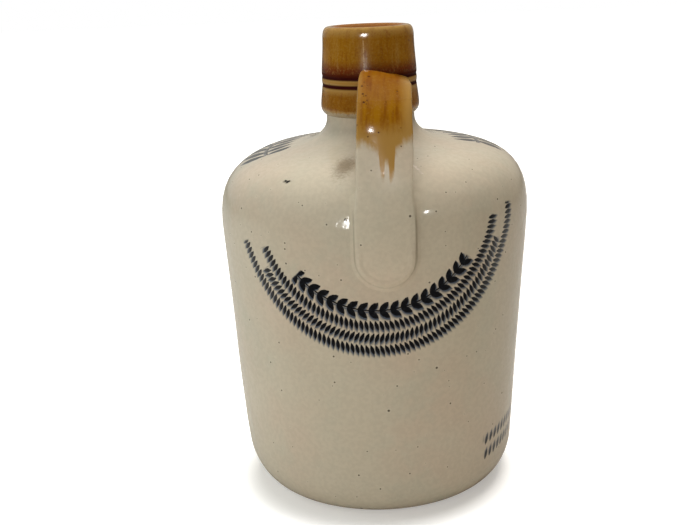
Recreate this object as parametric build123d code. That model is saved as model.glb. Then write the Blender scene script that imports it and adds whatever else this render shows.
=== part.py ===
from build123d import *

import os
from math import cos, radians, sin

# Stoneware jug with a rounded shoulder, a grooved mouth collar, a strap handle and a driven cork.
# Millimetres. The jug stands on z = 0, its axis is Z, and the handle is on the -Y side.

# Pot: the floor and the wall up to the widest line
WALL_FOOT_R = 55.9
BODY_R = 62.5
HEEL_H = 18.4
HEEL_IN = 13.0
BELLY_Z = 113.0
WALL = 6.0
FLOOR = 8.0

# Head: the shoulder, the sweep up to the neck and the neck tube
SHOULDER_H = 29.5
SHOULDER_R = 29.0
SHOULDER_LEAN = 11.0
SHOULDER_FULLNESS = 0.9
SHOULDER_FLATNESS = 0.5
NECK_SWEEP_H = 9.4
NECK_SWEEP_FOOT = 0.43
NECK_SWEEP_TOP = 0.62
NECK_R = 17.3

# Slip pressed into the bevelled joint inside the pot, left a little proud of the wall
SLIP_BEVEL = 1.6
SLIP_PROUD = 0.5

# Collar round the neck, with two turned grooves and a rounded lip
NECK_SHOW = 3.1
COLLAR_H = 32.7
COLLAR_R = 19.2
COLLAR_EDGE = 1.2
COLLAR_TOP_R = 17.8
COLLAR_SOCKET = 7.0
LUTING_FILM = 0.05
LIP_H = 2.6
MOUTH_R = 13.0
GROOVE_UP = 9.1
GROOVE_PITCH = 3.4
GROOVE_COUNT = 2
GROOVE_R = 0.9

# Strap handle, from the collar out over the shoulder and down on to the wall.
# CREST_AT and GRIP_AT are shares of the strap's length, and STRAP_ROUNDING a share of its thickness.
HANDLE_ROOT_UP = 10.4
HANDLE_ROOT_DEPTH = 9.2
HANDLE_ROOT_W = 16.0
HANDLE_ROOT_T = 10.0
HANDLE_CREST_OUT = 22.0
HANDLE_CREST_UP = 14.2
HANDLE_CREST_BEND = 16.0
HANDLE_CREST_W = 20.5
HANDLE_CREST_T = 9.2
HANDLE_KNEE_OUT = 2.0
HANDLE_KNEE_UP = 9.0
HANDLE_KNEE_BEND = 45.0
HANDLE_GRIP_W = 21.0
HANDLE_GRIP_T = 8.6
HANDLE_TAIL_W = 22.5
HANDLE_TAIL_T = 5.5
HANDLE_TAIL_LIFT = 0.8
HANDLE_TAIL_DROP = 14.5
HANDLE_SKEW = -7.0
CREST_AT = 0.22
GRIP_AT = 0.55
STRAP_ROUNDING = 0.45

# Lutes: the pads of slip that hold the handle on
LUTE_T = 1.2
LUTE_EDGE = 1.5

# Cork driven into the mouth
CORK_L = 20.0
CORK_RECESS = 3.0
CORK_EDGE = 0.8
CORK_CLEAR = 0.08

# Heights and radii that follow from the sizes above
SHOULDER_Z = BELLY_Z + SHOULDER_H
NECK_Z = SHOULDER_Z + NECK_SWEEP_H
COLLAR_Z = NECK_Z + NECK_SHOW
NECK_TOP_Z = COLLAR_Z + COLLAR_SOCKET
MOUTH_Z = COLLAR_Z + COLLAR_H
LIP_Z = MOUTH_Z - LIP_H
NECK_BORE_R = NECK_R - WALL
SOCKET_R = NECK_R + LUTING_FILM
RIM_R = BODY_R - WALL
TAIL_TIP_Z = BELLY_Z - HANDLE_TAIL_DROP


def between(z, low, high):
    """Radius at height z on the straight line between two (radius, height) points."""
    return low[0] + (high[0] - low[0]) * (z - low[1]) / (high[1] - low[1])


def wall_radius(z):
    """Outside radius of the tapered wall."""
    return between(z, (WALL_FOOT_R, HEEL_H), (BODY_R, BELLY_Z))


def collar_radius(z):
    """Outside radius of the collar, before its grooves."""
    return between(z, (COLLAR_R, COLLAR_Z), (COLLAR_TOP_R, LIP_Z))


def bore_radius(z):
    """Radius of the tapered mouth that takes the cork."""
    return between(z, (NECK_BORE_R, NECK_TOP_Z), (MOUTH_R, LIP_Z))


def turned(outline):
    """Solid made by turning a closed (radius, height) outline about the jug's axis."""
    return revolve(make_face(Plane.XZ * outline), Axis.Z)


def head_curves(inset):
    """Shoulder and neck sweep, moved towards the inside of the jug by inset."""
    lean = radians(SHOULDER_LEAN)
    start = Vector(BODY_R - inset, BELLY_Z)
    foot = Vector(SHOULDER_R - inset * sin(lean), SHOULDER_Z - inset * cos(lean))
    top = Vector(NECK_R - inset, NECK_Z)
    slope = Vector(-cos(lean), sin(lean))
    shoulder = Bezier(
        start,
        start + Vector(0, SHOULDER_FULLNESS * (foot.Y - start.Y)),
        foot - slope * SHOULDER_FLATNESS * (start.X - foot.X),
        foot,
    )
    sweep_up = Bezier(
        foot,
        foot + slope * NECK_SWEEP_FOOT * (foot.X - top.X),
        top - Vector(0, NECK_SWEEP_TOP * (top.Y - foot.Y)),
        top,
    )
    return shoulder + sweep_up


def filled_jug(inset):
    """The wall, shoulder and neck as one solid block, moved inwards by inset."""
    foot = (WALL_FOOT_R - inset, HEEL_H)
    wall = Line(foot, (BODY_R - inset, BELLY_Z))
    close = Polyline((NECK_R - inset, NECK_Z), (0, NECK_Z), (0, HEEL_H), foot)
    return turned(wall + head_curves(inset) + close)


def seam_slip():
    """Ring of slip in the groove that the pot's and the head's bevelled edges leave inside."""
    face_r = RIM_R - SLIP_PROUD
    rise = SLIP_BEVEL + SLIP_PROUD
    tip = (RIM_R + SLIP_BEVEL, BELLY_Z)
    return turned(Polyline((face_r, BELLY_Z - rise), tip, (face_r, BELLY_Z + rise), close=True))


def lower_pot():
    """Flat base, rounded heel and tapered wall, up to the rim that carries the head."""
    base_r = WALL_FOOT_R - HEEL_IN
    inner_foot_r = WALL_FOOT_R - WALL
    inner_base_r = inner_foot_r - HEEL_IN
    base = Line((0, 0), (base_r, 0))
    heel = EllipticalCenterArc((base_r, HEEL_H), HEEL_IN, HEEL_H, 270, arc_size=90)
    wall = Polyline((WALL_FOOT_R, HEEL_H), (BODY_R, BELLY_Z), (RIM_R, BELLY_Z), (inner_foot_r, HEEL_H))
    inner_heel = EllipticalCenterArc((inner_base_r, HEEL_H), HEEL_IN, HEEL_H - FLOOR, 270, arc_size=90)
    floor = Polyline((inner_base_r, FLOOR), (0, FLOOR), (0, 0))
    return turned(base + heel + wall + inner_heel + floor) - seam_slip()


def shoulder_head():
    """Shoulder and neck tube, seated on the pot's rim."""
    outside = Line((NECK_R, NECK_Z), (NECK_R, NECK_TOP_Z))
    bore = Polyline((NECK_R, NECK_TOP_Z), (NECK_BORE_R, NECK_TOP_Z), (NECK_BORE_R, NECK_Z))
    rim = Line((RIM_R, BELLY_Z), (BODY_R, BELLY_Z))
    return turned(head_curves(0) + outside + bore + head_curves(WALL) + rim) - seam_slip()


def mouth_collar():
    """Collar socketed over the neck tube, with turned grooves, a rounded lip and the cork's bore."""
    edge_z = COLLAR_Z + COLLAR_EDGE
    edge_r = collar_radius(edge_z)
    lip_r = (COLLAR_TOP_R - MOUTH_R) / 2
    foot = Line((SOCKET_R, COLLAR_Z), (edge_r - COLLAR_EDGE, COLLAR_Z))
    edge = CenterArc((edge_r - COLLAR_EDGE, edge_z), COLLAR_EDGE, 270, 90)
    side = Line((edge_r, edge_z), (COLLAR_TOP_R, LIP_Z))
    lip = EllipticalCenterArc((MOUTH_R + lip_r, LIP_Z), lip_r, LIP_H, 0, arc_size=180)
    bore = Line((MOUTH_R, LIP_Z), (NECK_BORE_R, NECK_TOP_Z))
    socket = Polyline((NECK_BORE_R, NECK_TOP_Z), (SOCKET_R, NECK_TOP_Z), (SOCKET_R, COLLAR_Z))
    collar = turned(foot + edge + side + lip + bore + socket)
    for number in range(GROOVE_COUNT):
        groove_z = COLLAR_Z + GROOVE_UP + number * GROOVE_PITCH
        collar -= Pos(0, 0, groove_z) * Torus(collar_radius(groove_z), GROOVE_R)
    return collar


def strap_path():
    """Centre line of the strap: out from the collar, over the crest and down past the tail's tip."""
    end_z = TAIL_TIP_Z - HANDLE_TAIL_W / 2
    root = (0, -(COLLAR_R - HANDLE_ROOT_DEPTH), COLLAR_Z + HANDLE_ROOT_UP)
    crest = (0, -(COLLAR_R + HANDLE_CREST_OUT), COLLAR_Z + HANDLE_CREST_UP)
    knee = (0, -(BODY_R + HANDLE_KNEE_OUT), BELLY_Z + HANDLE_KNEE_UP)
    end = (0, -(wall_radius(end_z) + HANDLE_TAIL_LIFT), end_z)
    return FilletPolyline(root, crest, knee, end, radius=[HANDLE_CREST_BEND, HANDLE_KNEE_BEND])


def strap_section(path, at, width, thickness):
    """Rounded strap section, square to the path."""
    plane = Plane(path @ at, x_dir=(1, 0, 0), z_dir=path % at)
    return plane * RectangleRounded(width, thickness, STRAP_ROUNDING * thickness)


def strap(grow):
    """Whole strap with its tongue-shaped tail, grown by grow all round and not yet cut to its seats."""
    path = strap_path()
    more = 2 * grow
    sections = [
        strap_section(path, 0.0, HANDLE_ROOT_W + more, HANDLE_ROOT_T + more),
        strap_section(path, CREST_AT, HANDLE_CREST_W + more, HANDLE_CREST_T + more),
        strap_section(path, GRIP_AT, HANDLE_GRIP_W + more, HANDLE_GRIP_T + more),
        strap_section(path, 1.0, HANDLE_TAIL_W + more, HANDLE_TAIL_T + more),
    ]
    bar = sweep(sections, path, multisection=True)
    half_w = HANDLE_TAIL_W / 2 + grow
    tongue_z = TAIL_TIP_Z + HANDLE_TAIL_W / 2
    sides = Polyline((half_w, tongue_z), (half_w, MOUTH_Z), (-half_w, MOUTH_Z), (-half_w, tongue_z))
    tongue = sides + CenterArc((0, tongue_z), half_w, 180, 180)
    front = extrude(make_face(Plane.XZ * tongue), 2 * BODY_R)
    turn_point = Pos(0, -BODY_R, 0)
    return turn_point * Rot(0, 0, HANDLE_SKEW) * turn_point.inverse() * (bar & front)


def collar_block(radius):
    """Plain round block over the collar's height."""
    return Pos(0, 0, COLLAR_Z + COLLAR_H / 2) * Cylinder(radius, COLLAR_H)


def strap_handle():
    """Strap cut to the seats that the two lutes leave on the collar and on the wall."""
    return strap(0) - filled_jug(-LUTE_T) - collar_block(COLLAR_R + LUTE_T)


def handle_top_lute():
    """Slip between the strap's root and the collar, pressed into the collar's grooves."""
    pad = strap(LUTE_EDGE) & collar_block(COLLAR_R + LUTE_T)
    return pad - mouth_collar() - collar_block(SOCKET_R)


def handle_tail_lute():
    """Slip between the strap's tail and the shoulder and wall, with a thin edge all round."""
    skin = filled_jug(-LUTE_T) - filled_jug(0)
    return strap(LUTE_EDGE) & skin


def cork_stopper():
    """Tapered cork, driven in below the lip with a running clearance in the mouth's bore."""
    top_z = MOUTH_Z - CORK_RECESS
    low_z = top_z - CORK_L
    top_r = bore_radius(top_z) - CORK_CLEAR
    low_r = bore_radius(low_z) - CORK_CLEAR
    cork = turned(Polyline((0, low_z), (low_r, low_z), (top_r, top_z), (0, top_z), close=True))
    return chamfer(cork.edges().filter_by(GeomType.CIRCLE), CORK_EDGE)


PIECES = {
    "lower_pot": lower_pot,
    "shoulder_head": shoulder_head,
    "seam_slip": seam_slip,
    "mouth_collar": mouth_collar,
    "strap_handle": strap_handle,
    "handle_top_lute": handle_top_lute,
    "handle_tail_lute": handle_tail_lute,
    "cork_stopper": cork_stopper,
}

os.makedirs("parts", exist_ok=True)
for name, make in PIECES.items():
    export_step(make(), f"parts/{name}.step")
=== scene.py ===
"""Glazed stoneware jug: a thrown body, a grooved collar in a honey dip, a strap handle and a cork."""

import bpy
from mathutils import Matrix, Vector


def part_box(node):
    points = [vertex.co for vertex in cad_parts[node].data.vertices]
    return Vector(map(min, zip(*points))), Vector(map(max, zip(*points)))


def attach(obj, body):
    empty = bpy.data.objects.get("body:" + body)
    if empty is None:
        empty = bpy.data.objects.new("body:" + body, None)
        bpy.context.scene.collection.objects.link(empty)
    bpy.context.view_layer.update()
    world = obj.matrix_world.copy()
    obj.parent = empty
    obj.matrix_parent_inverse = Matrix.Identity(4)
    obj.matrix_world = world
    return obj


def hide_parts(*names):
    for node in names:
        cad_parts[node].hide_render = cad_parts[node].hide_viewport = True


bl_info = {
    "name": "Stoneware Jug",
    "version": (1, 0, 0),
    "blender": (4, 5, 0),
    "location": "View3D > Sidebar > Jug",
    "description": "Models a glazed stoneware jug with a strap handle and a driven cork",
    "category": "Add Mesh",
}

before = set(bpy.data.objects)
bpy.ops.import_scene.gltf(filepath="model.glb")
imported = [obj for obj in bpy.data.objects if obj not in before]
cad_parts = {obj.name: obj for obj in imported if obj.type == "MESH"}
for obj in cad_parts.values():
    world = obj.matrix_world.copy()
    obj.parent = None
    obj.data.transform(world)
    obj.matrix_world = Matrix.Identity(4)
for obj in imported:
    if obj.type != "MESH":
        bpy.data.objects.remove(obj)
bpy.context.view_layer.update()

import math

import bpy
from bpy.props import FloatProperty, FloatVectorProperty, PointerProperty
from mathutils import Matrix, Vector

MM = 0.001
POT_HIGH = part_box("lower_pot")[1]
HEAD_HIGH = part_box("shoulder_head")[1]
COLLAR_LOW, COLLAR_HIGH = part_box("mouth_collar")
CORK_LOW, CORK_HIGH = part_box("cork_stopper")

SPIN_STEPS = 192
OUTLINE_STEPS = 14
MERGE_DISTANCE = 0.005 * MM
FULL_TURN = 2 * math.pi
# Handle of a Bezier quarter round, as a share of its radius
ROUND = 0.5523


def linear(red, green, blue):
    """Scene colour of an 8-bit display colour."""
    def channel(value):
        part = value / 255
        return part / 12.92 if part <= 0.04045 else ((part + 0.055) / 1.055) ** 2.4
    return (channel(red), channel(green), channel(blue))


def length(label, description, default):
    """A size that a user can change."""
    return FloatProperty(name=label, description=description, default=default, unit="LENGTH", precision=4)


def angle(label, description, degrees):
    """An angle that a user can change."""
    return FloatProperty(name=label, description=description, default=math.radians(degrees), unit="ROTATION")


def share(label, description, default):
    """A number without a unit that a user can change."""
    return FloatProperty(name=label, description=description, default=default)


def colour(label, description, display):
    """A colour that a user can change, given as an 8-bit display colour."""
    return FloatVectorProperty(name=label, description=description, default=linear(*display),
                               subtype="COLOR", size=3, min=0, max=1)


class JugBodySizes(bpy.types.PropertyGroup):
    belly_radius: length("Belly radius", "Outside radius at the widest line", POT_HIGH.x)
    belly_height: length("Belly height", "Height of the widest line", POT_HIGH.z)
    foot_radius: length("Foot radius", "Outside radius where the heel's rounding ends", 55.9 * MM)
    heel_height: length("Heel height", "Height of the heel's rounding", 18.4 * MM)
    heel_inset: length("Heel inset", "How far the heel's rounding goes in", 13 * MM)
    wall: length("Wall", "Thickness of the wall", 6 * MM)
    floor: length("Floor", "Thickness of the floor", 8 * MM)
    shoulder_rise: length("Shoulder rise", "Height of the shoulder above the belly", 29.5 * MM)
    shoulder_radius: length("Shoulder radius", "Radius where the shoulder turns up to the neck", 29 * MM)
    shoulder_lean: angle("Shoulder lean", "Slope of the shoulder at the neck", 11)
    shoulder_fullness: share("Shoulder fullness", "How square the shoulder's outer turn is", 0.92)
    shoulder_flatness: share("Shoulder flatness", "How flat the shoulder's top is", 0.5)
    neck_rise: length("Neck rise", "Height of the sweep from the shoulder to the neck", 9.4 * MM)
    neck_radius: length("Neck radius", "Outside radius of the neck", 17.65 * MM)
    neck_top: length("Neck top", "Height of the neck tube's end inside the collar", HEAD_HIGH.z)
    shoulder_sag: length("Shoulder sag", "How far the shoulder settled on one side in the kiln", 1.6 * MM)
    unevenness: length("Unevenness", "Height of the slow waves left by the potter's hand", 0.5 * MM)
    out_of_round: length("Out of round", "How far the wall bulges on one side", 1.0 * MM)


class JugCollarSizes(bpy.types.PropertyGroup):
    foot_height: length("Foot height", "Height of the collar's lower edge", COLLAR_LOW.z)
    top_height: length("Top height", "Height of the lip's crest", COLLAR_HIGH.z)
    radius: length("Radius", "Outside radius below the grooves", 19.7 * MM)
    waist: length("Waist", "How far the grooved part stands in", 0.8 * MM)
    top_radius: length("Top radius", "Outside radius below the lip", 18.1 * MM)
    mouth_radius: length("Mouth radius", "Radius of the mouth at the lip", 13 * MM)
    bore_radius: length("Bore radius", "Radius of the bore at the neck tube's end", 11.3 * MM)
    socket_radius: length("Socket radius", "Radius of the socket over the neck tube", 17.7 * MM)
    lip_height: length("Lip height", "Height of the lip's rounding", 2.6 * MM)
    skirt: length("Skirt", "How far the glazed lower edge hangs over the neck", 2 * MM)
    groove_height: length("Groove height", "Height of the lower groove's middle", COLLAR_LOW.z + 10.3 * MM)
    groove_pitch: length("Groove pitch", "Distance between the two grooves", 3.3 * MM)
    groove_depth: length("Groove depth", "Depth of the grooves", 0.16 * MM)
    groove_half: length("Groove half width", "Half the width of a groove at the surface", 0.95 * MM)
    lip_tilt: length("Lip tilt", "How far the lip stands higher at the front", 0.35 * MM)


class JugHandleSizes(bpy.types.PropertyGroup):
    root_out: length("Root out", "Distance of the strap's start from the jug's axis", 10 * MM)
    root_height: length("Root height", "Height of the strap's start", COLLAR_LOW.z + 9.8 * MM)
    crest_out: length("Crest out", "Distance of the crest's corner from the jug's axis", 42.2 * MM)
    crest_height: length("Crest height", "Height of the crest's corner", COLLAR_LOW.z + 13.9 * MM)
    crest_bend: length("Crest bend", "Radius of the bend at the crest", 26 * MM)
    knee_out: length("Knee out", "Distance of the knee's corner from the jug's axis", POT_HIGH.x + 2 * MM)
    knee_height: length("Knee height", "Height of the knee's corner", POT_HIGH.z + 9 * MM)
    knee_bend: length("Knee bend", "Radius of the bend at the knee", 45 * MM)
    tip_out: length("Tip out", "Distance of the tail's tip from the jug's axis", 61.3 * MM)
    tip_height: length("Tip height", "Height of the tail's tip", POT_HIGH.z - 14.5 * MM)
    root_width: length("Root width", "Width at the collar", 16.5 * MM)
    crest_width: length("Crest width", "Width at the crest", 19.3 * MM)
    grip_width: length("Grip width", "Width half way down", 19.9 * MM)
    waist_width: length("Waist width", "Width where the strap meets the shoulder", 19.3 * MM)
    tail_width: length("Tail width", "Width of the tongue", 22.1 * MM)
    root_thickness: length("Root thickness", "Thickness at the collar", 10 * MM)
    grip_thickness: length("Grip thickness", "Thickness half way down", 8.8 * MM)
    tail_thickness: length("Tail thickness", "Thickness of the tongue", 5.2 * MM)
    crown: length("Crown", "How far the strap's middle stands above its edges", 1.0 * MM)
    skew: angle("Skew", "Turn of the strap about its tail", -6.1)
    twist: angle("Twist", "Roll of the strap's upper part along its length", -16)
    smear: length("Smear", "Height of the slip smeared round the strap's ends", 0.4 * MM)


class JugGlazes(bpy.types.PropertyGroup):
    cream: colour("Cream", "Glaze of the body", (204, 192, 169))
    cream_warm: colour("Warm cream", "Warmer clouds in the body's glaze", (205, 188, 165))
    cream_cool: colour("Cool cream", "Greener clouds in the body's glaze", (196, 189, 167))
    speck: colour("Speck", "Iron specks in the glaze", (58, 46, 38))
    speck_rim: colour("Speck rim", "Thin pale glaze round a speck", (226, 218, 198))
    # Pale on the wrinkle: thin glaze, and also a painted highlight along it
    wrinkle_and_highlight: colour("Wrinkle", "Thin glaze on a wrinkle", (226, 212, 196))
    # Grey-brown: random grain in the body's glaze, a patch left of the strap's root, and painted shade in
    # the crease round the tail
    grey_brown_and_shade: colour("Smudge", "Old rubbed-in dirt", (140, 126, 104))
    honey: colour("Honey", "Honey dip on the collar and handle", (153, 102, 8))
    honey_pale: colour("Pale honey", "Thin honey dip over an edge", (172, 132, 68))
    honey_deep: colour("Deep honey", "Thick honey dip", (108, 46, 4))
    honey_inside: colour("Inside honey", "Honey dip inside the mouth", (142, 86, 42))
    # Painted highlight: the pale beaded line down the collar's front under its glint
    glint_trail_colour: colour("Honey run", "Thin beaded run in the honey dip", (226, 188, 130))
    honey_pool: colour("Pooled honey", "Honey dip pooled in a groove", (54, 10, 6))
    skirt: colour("Skirt", "Thin glaze on the collar's lower edge", (172, 156, 126))
    cobalt: colour("Cobalt", "Printed ornament", (3, 5, 12))
    bleed: colour("Bleed", "Cobalt that bled into the glaze", (36, 60, 84))
    bisque: colour("Bisque", "Bare clay under the foot", (186, 160, 124))
    cork: colour("Cork", "Cork", (176, 126, 76))
    cork_grain: colour("Cork grain", "Darker grain in the cork", (146, 98, 56))
    cork_dark: colour("Cork pores", "Pores and cracks in the cork", (84, 52, 30))


class JugStudio(bpy.types.PropertyGroup):
    distance: length("Distance", "Camera's distance from the jug's axis", 442.3 * MM)
    height: length("Height", "Camera's height above the floor", 218.1 * MM)
    azimuth: angle("Azimuth", "Camera's place round the jug", -3.5)
    pan: angle("Pan", "Camera's turn away from the jug's axis", -1.37)
    tilt: angle("Tilt", "Camera's downward tilt", 16.08)
    roll: angle("Roll", "Camera's roll", -2.23)
    lens: share("Lens", "Focal length in millimetres on a 36 mm sensor", 56.57)


# Small helpers for modelling

def start_piece():
    """Leaves nothing selected, so that an operator acts on the new piece alone."""
    if bpy.context.mode != "OBJECT":
        bpy.ops.object.mode_set(mode="OBJECT")
    bpy.ops.object.select_all(action="DESELECT")


def make_active(piece):
    """Selects one piece and nothing else."""
    start_piece()
    piece.select_set(True)
    bpy.context.view_layer.objects.active = piece


def made(name):
    """Piece that an earlier operator made."""
    piece = bpy.data.objects.get(name)
    if piece is None:
        raise RuntimeError(f"{name} isn't there yet: run the operators in the panel's order")
    return piece


def apply_modifier(piece, kind, **settings):
    """Adds a modifier with its settings and applies it."""
    make_active(piece)
    bpy.ops.object.modifier_add(type=kind)
    modifier = piece.modifiers[-1]
    for key, value in settings.items():
        setattr(modifier, key, value)
    bpy.ops.object.modifier_apply(modifier=modifier.name)


def pick_faces(piece, wanted):
    """Leaves the piece in edit mode with only the wanted faces selected."""
    make_active(piece)
    bpy.ops.object.mode_set(mode="EDIT")
    bpy.ops.mesh.select_mode(type="FACE")
    bpy.ops.mesh.select_all(action="DESELECT")
    bpy.ops.object.mode_set(mode="OBJECT")
    for face in piece.data.polygons:
        face.select = wanted(face)
    bpy.ops.object.mode_set(mode="EDIT")


def weigh(piece, name, weight):
    """Vertex group with a weight worked out from each vertex's place."""
    group = piece.vertex_groups.new(name=name)
    for vertex in piece.data.vertices:
        group.add([vertex.index], weight(vertex.co), "REPLACE")
    return name


def ramp(value, low, high):
    """0 at low, 1 at high and smooth between."""
    part = max(0.0, min(1.0, (value - low) / (high - low)))
    return part * part * (3 - 2 * part)


def knot_at(place, arrive=None, leave=None, kind="VECTOR"):
    """Point of a curve, with the handles' offsets where the line is curved."""
    return {"place": place, "arrive": arrive, "leave": leave, "kind": kind}


def knot(radius, height, arrive=None, leave=None, kind="VECTOR"):
    """Point of an outline, by its distance from the jug's axis and its height."""
    return knot_at(Vector((radius, 0, height)), arrive, leave, kind)


def draw_curve(name, knots, closed=False):
    """Bezier curve through knots."""
    start_piece()
    bpy.ops.curve.primitive_bezier_curve_add()
    curve = bpy.context.object
    curve.name = name
    curve.data.resolution_u = OUTLINE_STEPS
    spline = curve.data.splines[0]
    spline.bezier_points.add(len(knots) - 2)
    spline.use_cyclic_u = closed
    for point, each in zip(spline.bezier_points, knots):
        point.co = each["place"]
        point.tilt = each.get("tilt", 0.0)
        point.handle_left_type = "FREE" if each["arrive"] else each["kind"]
        point.handle_right_type = "FREE" if each["leave"] else each["kind"]
    for point, each in zip(spline.bezier_points, knots):
        if each["arrive"]:
            point.handle_left = each["place"] + Vector(each["arrive"])
        if each["leave"]:
            point.handle_right = each["place"] + Vector(each["leave"])
    return curve


def turn_outline(name, knots, closed=False):
    """Draws an outline and spins it about the jug's axis into a closed piece."""
    piece = draw_curve(name, knots, closed)
    bpy.ops.object.convert(target="MESH")
    bpy.ops.object.mode_set(mode="EDIT")
    bpy.ops.mesh.select_all(action="SELECT")
    bpy.ops.mesh.spin(steps=SPIN_STEPS, angle=FULL_TURN, center=(0, 0, 0), axis=(0, 0, 1))
    bpy.ops.mesh.select_all(action="SELECT")
    bpy.ops.mesh.remove_doubles(threshold=MERGE_DISTANCE)
    bpy.ops.mesh.normals_make_consistent(inside=False)
    bpy.ops.object.mode_set(mode="OBJECT")
    return bpy.context.object


def clouds(name, scale):
    """Slow cloudy texture for uneven surfaces."""
    texture = bpy.data.textures.new(name, "CLOUDS")
    texture.noise_scale = scale
    texture.noise_depth = 1
    return texture


def finish_piece(piece, material, body, slot, *nodes):
    """Smooth shading, material, and the piece's place in the frame."""
    make_active(piece)
    bpy.ops.object.shade_smooth()
    piece.data.materials.clear()
    piece.data.materials.append(material)
    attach(piece, body)
    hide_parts(*nodes)


# Body

SHOULDER_OVERHANG = 0.045
NECK_SWEEP_OUT = 0.43
NECK_SWEEP_UP = 0.62


def head_knots(sizes, inset):
    """Knots of the shoulder and neck sweep, moved inwards by inset, from the belly up."""
    lean = sizes.shoulder_lean
    slope = Vector((-math.cos(lean), 0, math.sin(lean)))
    belly = Vector((sizes.belly_radius - inset, 0, sizes.belly_height))
    foot = Vector((sizes.shoulder_radius - inset * math.sin(lean), 0,
                   sizes.belly_height + sizes.shoulder_rise - inset * math.cos(lean)))
    neck = Vector((sizes.neck_radius - inset, 0,
                   sizes.belly_height + sizes.shoulder_rise + sizes.neck_rise))
    up = sizes.shoulder_fullness * (foot.z - belly.z) * Vector((SHOULDER_OVERHANG, 0, 1))
    back = -slope * sizes.shoulder_flatness * (belly.x - foot.x)
    on = slope * NECK_SWEEP_OUT * (foot.x - neck.x)
    down = Vector((0, 0, -NECK_SWEEP_UP * (neck.z - foot.z)))
    return [knot(belly.x, belly.z, leave=up), knot(foot.x, foot.z, back, on),
            knot(neck.x, neck.z, arrive=down)]


def downward(knots):
    """The same knots, drawn from the top down."""
    return [knot_at(each["place"], each["leave"], each["arrive"]) for each in reversed(knots)]


def heel_knots(base_radius, base_height, wall_radius, wall_height):
    """Quarter-round heel from the flat base up to the wall."""
    across = ROUND * (wall_radius - base_radius)
    down = ROUND * (wall_height - base_height)
    return [knot(base_radius, base_height, leave=(across, 0, 0)),
            knot(wall_radius, wall_height, arrive=(0, 0, -down))]


def straight_run(first, second):
    """Gives a straight line between two knots steps of its own, so that it can be bent later."""
    way = (second["place"] - first["place"]) / 3
    first["leave"], second["arrive"] = way, -way


def body_outline(sizes):
    """Section of the body: outside from the base up, then the bore and the inside down to the floor."""
    inner_foot = sizes.foot_radius - sizes.wall
    neck_bore = sizes.neck_radius - sizes.wall
    outer_heel = heel_knots(sizes.foot_radius - sizes.heel_inset, 0, sizes.foot_radius, sizes.heel_height)
    inner_heel = heel_knots(inner_foot - sizes.heel_inset, sizes.floor, inner_foot, sizes.heel_height)
    outer_head, inner_head = head_knots(sizes, 0), head_knots(sizes, sizes.wall)
    straight_run(outer_heel[-1], outer_head[0])
    straight_run(inner_heel[-1], inner_head[0])
    tube = [knot(sizes.neck_radius, sizes.neck_top), knot(neck_bore, sizes.neck_top)]
    return ([knot(0, 0)] + outer_heel + outer_head + tube
            + downward(inner_head) + downward(inner_heel) + [knot(0, sizes.floor)])


SAG_OUT = 0.9
SAG_UP = 0.75
SAG_INWARD = 0.3
SAG_REACH = 45 * MM


def settle_shoulder(piece, sizes):
    """Pulls the shoulder down a little on its -X side, as it settled in the kiln."""
    make_active(piece)
    bpy.ops.object.mode_set(mode="EDIT")
    bpy.ops.mesh.select_all(action="DESELECT")
    bpy.ops.object.mode_set(mode="OBJECT")
    target = Vector((-SAG_OUT * sizes.belly_radius, 0, sizes.belly_height + SAG_UP * sizes.shoulder_rise))
    nearest = min(piece.data.vertices, key=lambda vertex: (vertex.co - target).length)
    nearest.select = True
    bpy.ops.object.mode_set(mode="EDIT")
    bpy.ops.transform.translate(value=(SAG_INWARD * sizes.shoulder_sag, 0, -sizes.shoulder_sag),
                                use_proportional_edit=True, proportional_edit_falloff="SMOOTH",
                                proportional_size=SAG_REACH)
    bpy.ops.object.mode_set(mode="OBJECT")


HAND_START = 3 * MM
HAND_EASE = 25 * MM
BULGE_FULL = 42 * MM
BULGE_END = 88 * MM
WAVE_SIZE = 55 * MM


class JUG_OT_body(bpy.types.Operator):
    """Turns the jug's body and leaves it as uneven as a thrown pot"""
    bl_idname = "jug.body"
    bl_label = "Turn Body"

    def execute(self, context):
        sizes = context.scene.jug_body
        piece = turn_outline("jug_body", body_outline(sizes))
        settle_shoulder(piece, sizes)
        neck_foot = sizes.belly_height + sizes.shoulder_rise

        def by_hand(place):
            return ramp(place.z, HAND_START, HAND_EASE) * ramp(-place.z, -neck_foot, HAND_EASE - neck_foot)

        def one_side(place):
            low = ramp(-place.z, -BULGE_END, -BULGE_FULL)
            return by_hand(place) * ramp(-place.x, 0, sizes.belly_radius) * low

        bulge = weigh(piece, "one_side", one_side)
        apply_modifier(piece, "DISPLACE", direction="X", strength=-2 * sizes.out_of_round, mid_level=0.5,
                       vertex_group=bulge)
        waves = weigh(piece, "by_hand", by_hand)
        apply_modifier(piece, "DISPLACE", texture=clouds("potter_waves", WAVE_SIZE), texture_coords="LOCAL",
                       strength=sizes.unevenness, mid_level=0.5, vertex_group=waves)
        finish_piece(piece, cream_glaze(context.scene), "jug", "cream_glaze",
                     "lower_pot", "shoulder_head", "seam_slip")
        return {"FINISHED"}


# Collar

EDGE_ROUND = 2.4 * MM
EDGE_LIFT = 0.3 * MM
SOCKET_OVERLAP = 0.5 * MM
LIP_TILT_REACH = 9 * MM
# The collar's side ends this far below the lip's rounding, with these handles
SIDE_DROP = 2 * MM
SIDE_ARRIVE = 0.1 * MM, 0, -6 * MM
SIDE_LEAVE = 0, 0, 2.6 * MM


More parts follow.
